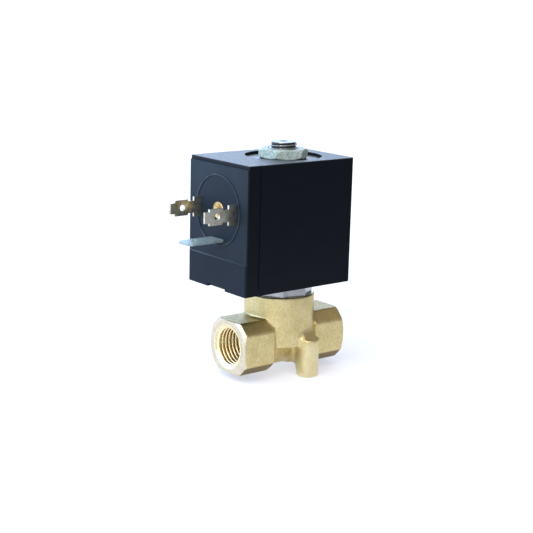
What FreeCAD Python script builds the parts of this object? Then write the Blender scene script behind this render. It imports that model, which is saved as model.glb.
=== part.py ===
"""Direct-acting two-way solenoid valve with a brass body and a plug-in coil.

Millimetres, +Z up.  The origin lies on the valve axis, level with the lower faces of the two
mounting feet.  The flow runs along X; the coil's connector blades point to -X.
"""
import FreeCAD, Part
import math
import os

V = FreeCAD.Vector
X_DIR = V(1, 0, 0)
Y_DIR = V(0, 1, 0)
Z_DIR = V(0, 0, 1)
NEAR = 0.02                   # slack when edges are picked by where they lie

# ---------------------------------------------------------------- driving dimensions
# Brass body
PORT_Z = 10.7                 # height of the port axis above the feet
PORT_SPAN = 41.0              # end to end over both ports
PORT_THREAD_R = 6.58          # G1/4, major diameter 13.157
PORT_THREAD_DEPTH = 11.0
PORT_MOUTH_R = 7.23
PORT_MOUTH_DEPTH = 0.38       # 120 degree countersink
BLOCK_WIDTH = 18.0            # across the upright flats of the port blocks
BLOCK_HEIGHT = 17.0
BLOCK_SIDE = 10.2             # what the 45 degree corner cuts leave of each upright flat
BLOCK_LENGTH = 12.2
BLOCK_FACE_R = 9.1            # radius left on the end face by the chamfer
BLOCK_CHAMFER_ANGLE = 30.0
BARREL_R = 8.1
BOSS_R = 11.3
BOSS_BOTTOM_Z = 10.0
BOSS_TOP_Z = 26.3
BOSS_FILLET = 0.6
RIB_FILLET = 0.6
FOOT_X = 3.5
FOOT_Y = 11.0
FOOT_R = 3.5
FOOT_TOP_Z = 12.3
RIB_WIDTH = 4.0               # rib between each foot and the barrel
RIB_Z = 3.5
FOOT_THREAD_R = 2.0           # M4
FOOT_THREAD_DEPTH = 7.0

# Valve chamber and seat
CHAMBER_R = 6.4
CHAMBER_FLOOR_Z = 15.2
SEAT_Z = 17.0
SEAT_R = 2.6
SEAT_BASE_R = 3.4
ORIFICE_R = 1.5
PASSAGE_R = 3.2
INLET_X = -4.8
PASSAGE_OVERLAP = 0.5         # how far a passage runs past the riser it meets
NECK_THREAD_R = 8.45
NECK_COUNTERSINK = 0.5
TUBE_SHOULDER_Z = 19.6
RING_SEAT_R = 8.3             # seat of the O-ring under the tube's flange
RING_SEAT_DEPTH = 1.1
RING_WIRE_R = 0.55

# Guide tube, core and plunger
TUBE_R = 6.5
TUBE_WALL = 0.5
TUBE_FLANGE_R = 8.2
TUBE_FLANGE = 1.2
TUBE_TOP_Z = 68.9
CORE_BOTTOM_Z = 48.0
STUD_R = 4.4                  # M9 x 1 at the low end of its crest size
STUD_TOP_Z = 74.65
STUD_CHAMFER = 0.35
SHADING_RING_R0 = 3.6
SHADING_RING_R1 = 4.6
SHADING_RING_DEPTH = 1.2
STROKE = 1.8
STROKE_REST_GAP = 0.05        # what is left between core and plunger when it is drawn up
PLUNGER_CLEARANCE = 0.07
FLUTE_WIDTH = 2.0
FLUTE_DEPTH = 0.9
NOSE_R = 4.8
NOSE_HEIGHT = 2.5
NOSE_LEAD_IN = 1.0
SEAL_R = 3.4
SEAL_PROUD = 0.6
SEAL_THICKNESS = 2.2
SPRING_POCKET_R = 2.9
SPRING_POCKET_DEPTH = 12.0
SPRING_R = 2.4                # to the middle of the wire
SPRING_WIRE_R = 0.3
SPRING_TURNS = 8

# Tube nut
TUBE_NUT_FLATS = 19.5         # octagon
TUBE_NUT_TURN = 11.8          # degrees, where the tightened octagon came to rest
TUBE_NUT_BORE_R = 6.56
SKIRT_CLEARANCE = 0.05
NUT_CHAMFER_ANGLE = 30.0
NUT_FACE_INSET = 0.15         # how far the chamfer cuts inside the flats

# Coil
COIL_X0 = -25.5               # connector face
COIL_X1 = 16.5
COIL_HALF_WIDTH = 15.0
COIL_Z0 = 30.2
COIL_Z1 = 70.2
COIL_BORE_R = 6.57
WINDOW_R = 12.2
WINDOW_DEPTH = 1.0
TOP_STEP_HEIGHT = 1.2         # strip along the top of the connector face that stands back
TOP_STEP_DEPTH = 0.7
CORNER_R = 0.6
SIDE_PANEL_PROUD = 0.2        # raised flat panel on each long side
SIDE_PANEL_X0 = -20.4
SIDE_PANEL_Z0 = 32.3
LEDGE_Z = 40.2                # the connector face stands back above this level
LEDGE_DEPTH = 0.25
FACE_RING_R = 11.0            # moulded bead round the connector
BEAD = 0.5
NOTCH_WIDTH = 9.0
NOTCH_HEIGHT = 0.9
NOTCH_DEPTH = 1.5

# Magnetic frame and winding
YOKE_THICKNESS = 2.0
YOKE_HALF_WIDTH = 12.8
YOKE_X0 = -13.2
YOKE_X1 = 15.2
YOKE_Z0 = 31.2
BOBBIN_WALL = 1.0
BOBBIN_FLANGE_R = 12.0
BOBBIN_FLANGE = 1.2
ARM_HALF_WIDTH = 5.0          # arm from the spool to the blade carrier
CARRIER_X0 = -20.5
CARRIER_X1 = -17.5
CARRIER_HALF_WIDTH = 11.5
CARRIER_Z0 = 42.4
WINDING_R = 11.4
TAPE = 0.3

# Connector, form A of the DIN coil plugs
BLADE_THICKNESS = 0.8
BLADE_PITCH = 18.0
BLADE_Z = 54.9
BLADE_TAIL = 9.0              # how far the tails reach into the moulding
BLADE_STEPS = [(2.6, 6.25), (4.8, 3.8), (9.7, 5.0), (11.4, 3.4)]   # end of each step, its width
BLADE_HOLE_R = 0.95
BLADE_HOLE = 6.9              # hole to connector face
LEAD_R = 0.4
LEAD_Z = 62.0
LEAD_START_Y = 2.0
LEAD_START_DEPTH = 0.6        # how deep the lead starts in the winding
LEAD_TO_TAIL_END = 1.0
EARTH_Z = 45.4
EARTH_WIDTH = 6.3
EARTH_LENGTH = 12.5
EARTH_TIP_LENGTH = 1.2
EARTH_TIP_INSET = 0.8
EARTH_HOLE = 4.2              # hole to tip
INSERT_R = 2.7
INSERT_LENGTH = 6.0
INSERT_THREAD_R = 1.5         # M3
INSERT_END_WALL = 0.8
INSERT_GROOVE_START = 2.5
INSERT_GROOVE_WIDTH = 1.0
INSERT_GROOVE_DEPTH = 0.4

# Coil nut and washer
COIL_NUT_FLATS = 14.0
COIL_NUT_HEIGHT = 3.0
COIL_NUT_TURN = 35.3          # degrees, where the tightened nut came to rest
WASHER_R = 7.4
WASHER_THICKNESS = 0.3
WASHER_CLEARANCE = 0.2
COIL_NUT_COUNTERSINK = 0.5

# ---------------------------------------------------------------- derived levels
PORT_END = PORT_SPAN / 2
THREAD_END = PORT_END - PORT_THREAD_DEPTH
WINDOW_FLOOR_Z = COIL_Z1 - WINDOW_DEPTH
TUBE_BORE_R = TUBE_R - TUBE_WALL
PLUNGER_R = TUBE_BORE_R - PLUNGER_CLEARANCE
PLUNGER_TOP_Z = CORE_BOTTOM_Z - STROKE - STROKE_REST_GAP
NOSE_Z = SEAT_Z + SEAL_PROUD
SPRING_Z0 = PLUNGER_TOP_Z - SPRING_POCKET_DEPTH
FACE_X = COIL_X0 + LEDGE_DEPTH
BOBBIN_Z0 = YOKE_Z0 + YOKE_THICKNESS
BOBBIN_Z1 = WINDOW_FLOOR_Z - YOKE_THICKNESS
BOBBIN_TUBE_R = COIL_BORE_R + BOBBIN_WALL
COIL_NUT_Z = WINDOW_FLOOR_Z + WASHER_THICKNESS


# ---------------------------------------------------------------- shape helpers
def post(radius, z0, z1, x=0.0, y=0.0):
    """Upright cylinder between two levels."""
    return Part.makeCylinder(radius, z1 - z0, V(x, y, z0), Z_DIR)


def rod(radius, x0, x1, y=0.0, z=0.0):
    """Cylinder along X."""
    return Part.makeCylinder(radius, x1 - x0, V(x0, y, z), X_DIR)


def upright_cone(radius0, radius1, z0, z1):
    return Part.makeCone(radius0, radius1, z1 - z0, V(0, 0, z0), Z_DIR)


def block(x0, x1, y0, y1, z0, z1):
    return Part.makeBox(x1 - x0, y1 - y0, z1 - z0, V(x0, y0, z0))


def sheet(points, thickness):
    """Flat outline extruded by a vector."""
    return Part.Face(Part.makePolygon(points + points[:1])).extrude(thickness)


def polygon(sides, flats, turn):
    """Corner points (a, b) of a regular polygon with a corner at the angle turn."""
    radius = flats / 2 / math.cos(math.pi / sides)
    angles = [math.radians(turn + 360.0 * i / sides) for i in range(sides)]
    return [(radius * math.cos(a), radius * math.sin(a)) for a in angles]


def upright_prism(sides, flats, turn, z0, z1):
    points = [V(a, b, z0) for a, b in polygon(sides, flats, turn)]
    return sheet(points, V(0, 0, z1 - z0))


def chamfered_prism(sides, flats, turn, z0, z1, both_ends):
    """Nut blank whose corners are turned off at its upper end, or at both ends."""
    corner_r = flats / 2 / math.cos(math.pi / sides)
    face_r = flats / 2 - NUT_FACE_INSET
    drop = (corner_r - face_r) * math.tan(math.radians(NUT_CHAMFER_ANGLE))
    straight_z = z0 + drop if both_ends else z0
    envelope = post(corner_r, straight_z, z1 - drop)
    envelope = envelope.fuse(upright_cone(corner_r, face_r, z1 - drop, z1))
    if both_ends:
        envelope = envelope.fuse(upright_cone(face_r, corner_r, z0, straight_z))
    return upright_prism(sides, flats, turn, z0, z1).common(envelope.removeSplitter())


def mirrored_x(shape):
    return shape.mirror(V(0, 0, 0), X_DIR)


def half_turn(shape):
    """The same shape turned by 180 degrees about the valve axis."""
    copy = shape.copy()
    copy.rotate(V(0, 0, 0), Z_DIR, 180)
    return copy


# ---------------------------------------------------------------- brass body
def port_block():
    """Wrench block of the +X port: a rectangle with cut corners, turned off at its outer end."""
    x0 = PORT_END - BLOCK_LENGTH
    half_width = BLOCK_WIDTH / 2
    half_height = BLOCK_HEIGHT / 2
    side = BLOCK_SIDE / 2
    top = half_width - (half_height - side)
    corner_r = math.hypot(half_width, side)
    chamfer = (corner_r - BLOCK_FACE_R) * math.tan(math.radians(BLOCK_CHAMFER_ANGLE))
    quarter = [(half_width, side), (top, half_height)]
    upper = quarter + [(-a, b) for a, b in reversed(quarter)]
    outline = upper + [(-a, -b) for a, b in upper]
    prism = sheet([V(x0, a, PORT_Z + b) for a, b in outline], V(BLOCK_LENGTH, 0, 0))
    middle = rod(corner_r, x0, PORT_END - chamfer, 0, PORT_Z)
    end_base = V(PORT_END - chamfer, 0, PORT_Z)
    end = Part.makeCone(corner_r, BLOCK_FACE_R, chamfer, end_base, X_DIR)
    return prism.common(middle.fuse(end).removeSplitter())


def foot():
    """Screw foot beside the boss, tied to the barrel by a rib."""
    pillar = post(FOOT_R, 0, FOOT_TOP_Z, FOOT_X, -FOOT_Y)
    rib_x0 = FOOT_X - RIB_WIDTH / 2
    rib = block(rib_x0, rib_x0 + RIB_WIDTH, -FOOT_Y, -BARREL_R / 2, RIB_Z, PORT_Z)
    return pillar.fuse(rib)


def make_boss():
    """Upright cylinder of the body, rounded along its lower rim."""
    boss = post(BOSS_R, BOSS_BOTTOM_Z, BOSS_TOP_Z)
    rim = [edge for edge in boss.Edges if edge.BoundBox.ZMax < BOSS_BOTTOM_Z + NEAR]
    return boss.makeFillet(BOSS_FILLET, rim)


def is_rib_corner(edge):
    """Upright corner between a foot's pillar and its rib."""
    box = edge.BoundBox
    upright = box.XLength < NEAR and box.YLength < NEAR
    return upright and box.ZMin > RIB_Z - NEAR and box.ZMax < BOSS_BOTTOM_Z


def port_bore():
    """Thread bore and countersink of the +X port."""
    thread = rod(PORT_THREAD_R, THREAD_END, PORT_END, 0, PORT_Z)
    base = V(PORT_END - PORT_MOUTH_DEPTH, 0, PORT_Z)
    return thread.fuse(Part.makeCone(PORT_THREAD_R, PORT_MOUTH_R, PORT_MOUTH_DEPTH, base, X_DIR))


def foot_bore():
    """Blind screw hole in the foot."""
    return post(FOOT_THREAD_R, 0, FOOT_THREAD_DEPTH, FOOT_X, -FOOT_Y)


def make_valve_body():
    outlet_block = port_block()
    front_foot = foot()
    barrel_x = PORT_END - BLOCK_LENGTH
    barrel = rod(BARREL_R, -barrel_x, barrel_x, 0, PORT_Z)
    outside = [barrel, outlet_block, mirrored_x(outlet_block), front_foot, half_turn(front_foot)]
    forging = make_boss().fuse(outside).removeSplitter()
    forging = forging.makeFillet(RIB_FILLET, [edge for edge in forging.Edges if is_rib_corner(edge)])

    chamber = post(CHAMBER_R, CHAMBER_FLOOR_Z, TUBE_SHOULDER_Z)
    neck = post(NECK_THREAD_R, TUBE_SHOULDER_Z, BOSS_TOP_Z)
    mouth_z = BOSS_TOP_Z - NECK_COUNTERSINK
    neck_mouth = upright_cone(NECK_THREAD_R, NECK_THREAD_R + NECK_COUNTERSINK, mouth_z, BOSS_TOP_Z)
    ring_seat = post(RING_SEAT_R, TUBE_SHOULDER_Z - RING_SEAT_DEPTH, TUBE_SHOULDER_Z)
    ring_seat = ring_seat.cut(post(RING_SEAT_R - 2 * RING_WIRE_R, 0, TUBE_SHOULDER_Z))
    seat = upright_cone(SEAT_BASE_R, SEAT_R, CHAMBER_FLOOR_Z, SEAT_Z)
    outlet = rod(PASSAGE_R, -ORIFICE_R - PASSAGE_OVERLAP, THREAD_END, 0, PORT_Z)
    inlet = rod(PASSAGE_R, -THREAD_END, INLET_X - ORIFICE_R, 0, PORT_Z)
    inlet_riser = post(ORIFICE_R, PORT_Z, CHAMBER_FLOOR_Z, INLET_X)
    bore = port_bore()
    orifice = post(ORIFICE_R, PORT_Z, SEAT_Z)
    threads = [bore, mirrored_x(bore), foot_bore(), half_turn(foot_bore())]
    passages = [neck, neck_mouth, ring_seat, outlet, inlet, inlet_riser]
    return forging.cut([chamber.cut(seat)] + passages + threads).cut(orifice)


# ---------------------------------------------------------------- guide tube, core and plunger
def make_tube_nut():
    """Octagonal gland nut; its skirt screws into the boss and clamps the tube's flange."""
    head = chamfered_prism(8, TUBE_NUT_FLATS, TUBE_NUT_TURN, BOSS_TOP_Z, COIL_Z0, False)
    skirt = post(NECK_THREAD_R - SKIRT_CLEARANCE, TUBE_SHOULDER_Z + TUBE_FLANGE, BOSS_TOP_Z)
    return head.fuse(skirt).cut(post(TUBE_NUT_BORE_R, 0, COIL_Z0)).removeSplitter()


def make_tube_seal():
    """O-ring in its seat under the tube's flange."""
    middle_r = RING_SEAT_R - RING_WIRE_R
    return Part.makeTorus(middle_r, RING_WIRE_R, V(0, 0, TUBE_SHOULDER_Z - RING_WIRE_R))


def make_guide_tube():
    """Thin tube the plunger slides in, with a flange clamped under the tube nut."""
    flange = post(TUBE_FLANGE_R, TUBE_SHOULDER_Z, TUBE_SHOULDER_Z + TUBE_FLANGE)
    wall = post(TUBE_R, TUBE_SHOULDER_Z, TUBE_TOP_Z)
    return flange.fuse(wall).cut(post(TUBE_BORE_R, 0, TUBE_TOP_Z)).removeSplitter()


def shading_groove():
    z1 = CORE_BOTTOM_Z + SHADING_RING_DEPTH
    outer = post(SHADING_RING_R1, CORE_BOTTOM_Z, z1)
    return outer.cut(post(SHADING_RING_R0, CORE_BOTTOM_Z, z1))


def make_fixed_core():
    """Stop welded into the top of the tube, with the threaded stud for the coil nut."""
    stop = post(TUBE_BORE_R, CORE_BOTTOM_Z, TUBE_TOP_Z)
    stud = post(STUD_R, TUBE_TOP_Z, STUD_TOP_Z - STUD_CHAMFER)
    tip = upright_cone(STUD_R, STUD_R - STUD_CHAMFER, STUD_TOP_Z - STUD_CHAMFER, STUD_TOP_Z)
    return stop.fuse([stud, tip]).removeSplitter().cut(shading_groove())


def make_plunger():
    """Moving core: flutes for the fluid, a spring pocket above and the seal's pocket below."""
    shoulder_z = NOSE_Z + NOSE_HEIGHT
    body = post(PLUNGER_R, shoulder_z, PLUNGER_TOP_Z)
    nose = post(NOSE_R, NOSE_Z, shoulder_z)
    lead_in = upright_cone(NOSE_R, PLUNGER_R, shoulder_z - NOSE_LEAD_IN, shoulder_z)
    plunger = body.fuse([nose, lead_in]).removeSplitter()
    flute_x = PLUNGER_R - FLUTE_DEPTH
    flute = block(flute_x, PLUNGER_R, -FLUTE_WIDTH / 2, FLUTE_WIDTH / 2, NOSE_Z, PLUNGER_TOP_Z)
    spring_pocket = post(SPRING_POCKET_R, SPRING_Z0, PLUNGER_TOP_Z)
    return plunger.cut([flute, half_turn(flute), spring_pocket, make_plunger_seal()])


def make_plunger_seal():
    """Elastomer disc that closes the orifice."""
    return post(SEAL_R, SEAT_Z, SEAT_Z + SEAL_THICKNESS)


def make_return_spring():
    """Compression spring between the plunger and the fixed core."""
    z0 = SPRING_Z0 + SPRING_WIRE_R
    height = CORE_BOTTOM_Z - SPRING_WIRE_R - z0
    helix = Part.makeHelix(height / SPRING_TURNS, height, SPRING_R)
    helix.translate(V(0, 0, z0))
    section = Part.Wire(Part.makeCircle(SPRING_WIRE_R, V(SPRING_R, 0, z0), Y_DIR))
    return Part.Wire(helix).makePipeShell([section], True, True)


# ---------------------------------------------------------------- coil
def make_yoke():
    """Bent steel frame: pole plates above and below the winding, joined behind it."""
    top_z = WINDOW_FLOOR_Z
    outer = block(YOKE_X0, YOKE_X1, -YOKE_HALF_WIDTH, YOKE_HALF_WIDTH, YOKE_Z0, top_z)
    behind = [edge for edge in outer.Edges if edge.BoundBox.XMin > YOKE_X1 - NEAR]
    bends = [edge for edge in behind if edge.BoundBox.YLength > YOKE_HALF_WIDTH]
    outer = outer.makeFillet(YOKE_THICKNESS, bends)
    gap_x1 = YOKE_X1 - YOKE_THICKNESS
    gap = block(YOKE_X0, gap_x1, -YOKE_HALF_WIDTH, YOKE_HALF_WIDTH, BOBBIN_Z0, BOBBIN_Z1)
    return outer.cut([gap, post(COIL_BORE_R, YOKE_Z0, top_z)])


def make_bobbin():
    """Spool with an arm that carries the three blades and the screw insert."""
    spool = post(BOBBIN_TUBE_R, BOBBIN_Z0, BOBBIN_Z1)
    lower = post(BOBBIN_FLANGE_R, BOBBIN_Z0, BOBBIN_Z0 + BOBBIN_FLANGE)
    upper = post(BOBBIN_FLANGE_R, BOBBIN_Z1 - BOBBIN_FLANGE, BOBBIN_Z1)
    arm = block(CARRIER_X0, 0, -ARM_HALF_WIDTH, ARM_HALF_WIDTH, BOBBIN_Z1 - BOBBIN_FLANGE, BOBBIN_Z1)
    half = CARRIER_HALF_WIDTH
    carrier = block(CARRIER_X0, CARRIER_X1, -half, half, CARRIER_Z0, BOBBIN_Z1)
    bobbin = spool.fuse([lower, upper, arm, carrier]).removeSplitter()
    return bobbin.cut(post(COIL_BORE_R, BOBBIN_Z0, BOBBIN_Z1))


def ring(inner_r, outer_r):
    """Ring that fills the spool's height between two radii."""
    z0 = BOBBIN_Z0 + BOBBIN_FLANGE
    z1 = BOBBIN_Z1 - BOBBIN_FLANGE
    return post(outer_r, z0, z1).cut(post(inner_r, z0, z1))


def make_power_blade(side):
    """Upright blade: wide root, narrow neck, drilled contact part, stepped tip."""
    y0 = side * BLADE_PITCH / 2 - BLADE_THICKNESS / 2
    upper = []
    x0 = COIL_X0 + BLADE_TAIL
    for length, width in BLADE_STEPS:
        upper += [(x0, width / 2), (COIL_X0 - length, width / 2)]
        x0 = COIL_X0 - length
    outline = upper + [(x, -z) for x, z in reversed(upper)]
    blade = sheet([V(x, y0, BLADE_Z + z) for x, z in outline], V(0, BLADE_THICKNESS, 0))
    centre = V(COIL_X0 - BLADE_HOLE, y0, BLADE_Z)
    return blade.cut(Part.makeCylinder(BLADE_HOLE_R, BLADE_THICKNESS, centre, Y_DIR))


def make_earth_blade():
    """Flat blade whose tail turns down to the yoke's lower plate."""
    half = EARTH_WIDTH / 2
    tip = COIL_X0 - EARTH_LENGTH
    outline = [(YOKE_X0, half), (tip + EARTH_TIP_LENGTH, half), (tip, half - EARTH_TIP_INSET)]
    outline += [(x, -y) for x, y in reversed(outline)]
    blade = sheet([V(x, y, EARTH_Z) for x, y in outline], V(0, 0, BLADE_THICKNESS))
    strap = block(YOKE_X0 - BLADE_THICKNESS, YOKE_X0, -half, half, YOKE_Z0, EARTH_Z)
    hole = post(BLADE_HOLE_R, EARTH_Z, EARTH_Z + BLADE_THICKNESS, tip + EARTH_HOLE)
    return blade.fuse(strap).removeSplitter().cut(hole)


def insert_bore():
    """Blind thread of the screw insert."""
    return rod(INSERT_THREAD_R, FACE_X, FACE_X + INSERT_LENGTH - INSERT_END_WALL, 0, BLADE_Z)


def make_screw_insert():
    """Brass insert for the plug's central screw, with a retaining groove."""
    x1 = FACE_X + INSERT_LENGTH
    insert = rod(INSERT_R, FACE_X, x1, 0, BLADE_Z)
    groove_x = FACE_X + INSERT_GROOVE_START
    groove = rod(INSERT_R, groove_x, groove_x + INSERT_GROOVE_WIDTH, 0, BLADE_Z)
    groove = groove.cut(rod(INSERT_R - INSERT_GROOVE_DEPTH, FACE_X, x1, 0, BLADE_Z))
    return insert.cut([groove, insert_bore()])


def make_lead(side):
    """Wire from the winding to the tail of a power blade."""
    y_tail = side * (BLADE_PITCH - BLADE_THICKNESS) / 2 - side * LEAD_R
    start = V(LEAD_START_DEPTH - WINDING_R, side * LEAD_START_Y, LEAD_Z)
    corner = V(COIL_X0 + BLADE_TAIL - LEAD_TO_TAIL_END, y_tail, LEAD_Z)
    end = V(corner.x, y_tail, BLADE_Z)
    pieces = []
    for a, b in ((start, corner), (corner, end)):
        pieces.append(Part.makeCylinder(LEAD_R, (b - a).Length, a, b - a))
        pieces.append(Part.makeSphere(LEAD_R, b))
    return pieces[0].fuse(pieces[1:]).removeSplitter()


def housing_outside():
    """Moulded block with its side panels, connector ledge, top step, notch and rounded corners."""
    half = COIL_HALF_WIDTH - SIDE_PANEL_PROUD
    outside = block(COIL_X0, COIL_X1, -half, half, COIL_Z0, COIL_Z1)
    panel = block(SIDE_PANEL_X0, COIL_X1, -COIL_HALF_WIDTH, COIL_HALF_WIDTH, SIDE_PANEL_Z0, COIL_Z1)
    outside = outside.fuse(panel).removeSplitter()
    panel_height = COIL_Z1 - SIDE_PANEL_Z0
    upright = [edge for edge in outside.Edges if edge.BoundBox.ZLength > panel_height - NEAR]
    corners = [edge for edge in upright if abs(edge.BoundBox.XMin - SIDE_PANEL_X0) > NEAR]
    outside = outside.makeFillet(CORNER_R, corners)
    recess = block(COIL_X0, FACE_X, -COIL_HALF_WIDTH, COIL_HALF_WIDTH, LEDGE_Z, COIL_Z1)
    step_x1 = COIL_X0 + TOP_STEP_DEPTH
    step_z = COIL_Z1 - TOP_STEP_HEIGHT
    step = block(COIL_X0, step_x1, -COIL_HALF_WIDTH, COIL_HALF_WIDTH, step_z, COIL_Z1)
    notch_x1 = COIL_X0 + NOTCH_DEPTH
    notch_y = NOTCH_WIDTH / 2
    notch = block(COIL_X0, notch_x1, -notch_y, notch_y, COIL_Z0, COIL_Z0 + NOTCH_HEIGHT)
    outside = outside.cut([recess, step, notch])
    bead = rod(FACE_RING_R + BEAD / 2, FACE_X - BEAD / 2, FACE_X, 0, BLADE_Z)
    bead = bead.cut(rod(FACE_RING_R - BEAD / 2, FACE_X - BEAD / 2, FACE_X, 0, BLADE_Z))
    return outside.fuse(bead).removeSplitter()


def make_coil_housing(inside):
    """Moulding around everything in the coil, with the bore and the round window on top."""
    bore = post(COIL_BORE_R, COIL_Z0, COIL_Z1)
    window = post(WINDOW_R, WINDOW_FLOOR_Z, COIL_Z1)
    return housing_outside().cut([bore, window, insert_bore()] + inside)


# ---------------------------------------------------------------- nut and washer
def make_coil_nut():
    """Hexagon nut on the stud, tightened down on the washer."""
    z1 = COIL_NUT_Z + COIL_NUT_HEIGHT
    blank = chamfered_prism(6, COIL_NUT_FLATS, COIL_NUT_TURN, COIL_NUT_Z, z1, True)
    mouth_r = STUD_R + COIL_NUT_COUNTERSINK
    mouth = upright_cone(STUD_R, mouth_r, z1 - COIL_NUT_COUNTERSINK, z1)
    return blank.cut([post(STUD_R, COIL_NUT_Z, z1), mouth])


def make_coil_washer():
    """Flat washer on the floor of the coil's round window."""
    hole = post(STUD_R + WASHER_CLEARANCE, WINDOW_FLOOR_Z, COIL_NUT_Z)
    return post(WASHER_R, WINDOW_FLOOR_Z, COIL_NUT_Z).cut(hole)


# ---------------------------------------------------------------- assembly
def build():
    blades = {"power_blade_left": make_power_blade(1), "power_blade_right": make_power_blade(-1)}
    leads = {"lead_left": make_lead(1), "lead_right": make_lead(-1)}
    earth = make_earth_blade()
    insert = make_screw_insert()
    yoke = make_yoke()
    metal = list(blades.values()) + list(leads.values()) + [earth, insert]
    bobbin = make_bobbin().cut(metal + [insert_bore()])
    winding = ring(BOBBIN_TUBE_R, WINDING_R).cut(list(leads.values()))
    tape = ring(WINDING_R, WINDING_R + TAPE).cut(list(leads.values()))
    nodes = {
        "valve_body": make_valve_body(),
        "tube_nut": make_tube_nut(),
        "tube_seal": make_tube_seal(),
        "guide_tube": make_guide_tube(),
        "fixed_core": make_fixed_core(),
        "shading_ring": shading_groove(),
        "plunger": make_plunger(),
        "plunger_seal": make_plunger_seal(),
        "return_spring": make_return_spring(),
        "coil_housing": make_coil_housing(metal + [yoke, bobbin, winding, tape]),
        "yoke": yoke,
        "bobbin": bobbin,
        "winding": winding,
        "winding_tape": tape,
        "earth_blade": earth,
        "screw_insert": insert,
        "coil_nut": make_coil_nut(),
        "coil_washer": make_coil_washer(),
    }
    nodes.update(blades)
    nodes.update(leads)
    return nodes


os.makedirs("parts", exist_ok=True)
for name, shape in build().items():
    shape.exportStep("parts/" + name + ".step")
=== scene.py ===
"""Detailed visual model of the solenoid valve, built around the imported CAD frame.

Shapes are worked out in millimetres in the CAD frame and written as meshes in metres.
"""

import math

import bmesh
import bpy
import numpy as np
from mathutils import Matrix, Vector


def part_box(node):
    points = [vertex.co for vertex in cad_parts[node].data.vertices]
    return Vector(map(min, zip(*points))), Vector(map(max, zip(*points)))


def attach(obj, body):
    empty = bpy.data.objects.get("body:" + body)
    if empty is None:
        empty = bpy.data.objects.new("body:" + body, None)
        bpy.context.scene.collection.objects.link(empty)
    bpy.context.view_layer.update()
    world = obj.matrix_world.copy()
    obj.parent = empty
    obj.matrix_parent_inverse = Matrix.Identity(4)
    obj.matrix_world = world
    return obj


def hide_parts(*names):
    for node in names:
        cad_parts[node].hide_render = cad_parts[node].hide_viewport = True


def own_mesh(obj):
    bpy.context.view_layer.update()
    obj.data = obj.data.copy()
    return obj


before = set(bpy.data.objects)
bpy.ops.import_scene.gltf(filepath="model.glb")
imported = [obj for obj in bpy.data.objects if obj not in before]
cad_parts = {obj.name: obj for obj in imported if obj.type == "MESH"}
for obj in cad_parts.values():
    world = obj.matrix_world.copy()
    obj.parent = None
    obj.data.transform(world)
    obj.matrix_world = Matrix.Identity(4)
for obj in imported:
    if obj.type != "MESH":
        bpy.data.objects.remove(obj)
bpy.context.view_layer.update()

MM = 0.001


def node_box(node):
    """Lowest and highest corner of a CAD node, in millimetres."""
    low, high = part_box(node)
    return np.array(low) / MM, np.array(high) / MM


BODY_LOW, BODY_HIGH = node_box("valve_body")
TUBE_NUT_LOW, TUBE_NUT_HIGH = node_box("tube_nut")
CORE_LOW, CORE_HIGH = node_box("fixed_core")
COIL_LOW, COIL_HIGH = node_box("coil_housing")
COIL_NUT_LOW, COIL_NUT_HIGH = node_box("coil_nut")
INSERT_LOW, INSERT_HIGH = node_box("screw_insert")
SPRING_LOW, SPRING_HIGH = node_box("return_spring")

# ---------------------------------------------------------------- sizes, in millimetres
PORT_END = BODY_HIGH[0]
PORT_Z = 10.7
BLOCK_WIDTH = 18.0
BLOCK_HEIGHT = 17.0
BLOCK_SIDE = 10.2             # what the corner cuts leave of each upright flat
BLOCK_LENGTH = 12.2
BLOCK_FACE_R = 9.1            # radius left on the end face by the chamfer
BARREL_R = 8.1
BOSS_R = 11.3
BOSS_BOTTOM_Z = 10.0
BOSS_TOP_Z = BODY_HIGH[2]
FOOT_X = 3.5
FOOT_R = 3.5
FOOT_Y = BODY_HIGH[1] - FOOT_R
FOOT_TOP_Z = 12.3
RIB_WIDTH = 3.4
RIB_Z = 3.5
RIB_FILLET = 2.6              # rib to foot
FOOT_FILLET = 2.4             # foot and rib to barrel
BLOCK_FILLET = 1.0            # port block to the rest
BOSS_FILLET = 0.8             # boss to the rest,
BOSS_FILLET_AT_FOOT = 2.8     # and how much more of it there is above a foot
FORGED_EDGE = 0.5
SKIN_DEPTH = 0.014            # of the forged skin's unevenness
CHAMBER_R = 6.4
CHAMBER_FLOOR_Z = 15.2
SEAT_Z = 17.0
SEAT_R = 2.6
ORIFICE_R = 1.5
PASSAGE_R = 3.2
INLET_X = -4.8
NECK_R = 8.5
NECK_Z = 19.6

PAINTED_SHADE_SLOPE = 0.36           # painted shade: how dark the skin is on the blocks' upper cut corners,
PAINTED_SHADE_TOP = 0.8              # on their top flats
PAINTED_SHADE_UNDER = 1.6            # and below,
PAINTED_SHADE_BARREL = 0.45          # on the barrel under the boss
FILLET_GRIME_AND_SHADE = 0.5           # and in the fillets, partly grime and partly painted shade,
FILLET_EASE_NEAR_FOOT = 0.4        # less this near a foot
FOOT_LIGHTENING = 0.5             # how much lighter the feet are

PORT_THREAD_R = 6.58          # G1/4
PORT_THREAD_DEPTH = 11.0
PORT_THREAD_PITCH = 1.337
PORT_THREAD_HEIGHT = 0.82
PORT_MOUTH = 0.65
COUNTERSINK_SLOPE = 3.4       # a shallow cone
FOOT_THREAD_R = 2.0           # M4
FOOT_THREAD_DEPTH = 7.0
FOOT_THREAD_PITCH = 0.7
FOOT_THREAD_HEIGHT = 0.38
INSERT_THREAD_R = 1.5         # M3

STUD_R = 4.4                  # M9 x 1
STUD_ROOT_R = 3.80
STUD_PITCH = 1.0
STUD_CHAMFER = 0.35
STUD_Z = 68.9
END_RECESS = 0.74             # how far the stud's turned end is darkened and roughened, on the scale of its thread roots
SHADING_R0 = 3.6
SHADING_R1 = 4.6
SHADING_DEPTH = 1.2

COIL_NUT_FLATS = 14.0
COIL_NUT_TURN = 35.3
TUBE_NUT_FLATS = 19.5
TUBE_NUT_TURN = 11.8
TUBE_NUT_BORE_R = 6.56
SKIRT_R = 8.4

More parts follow.
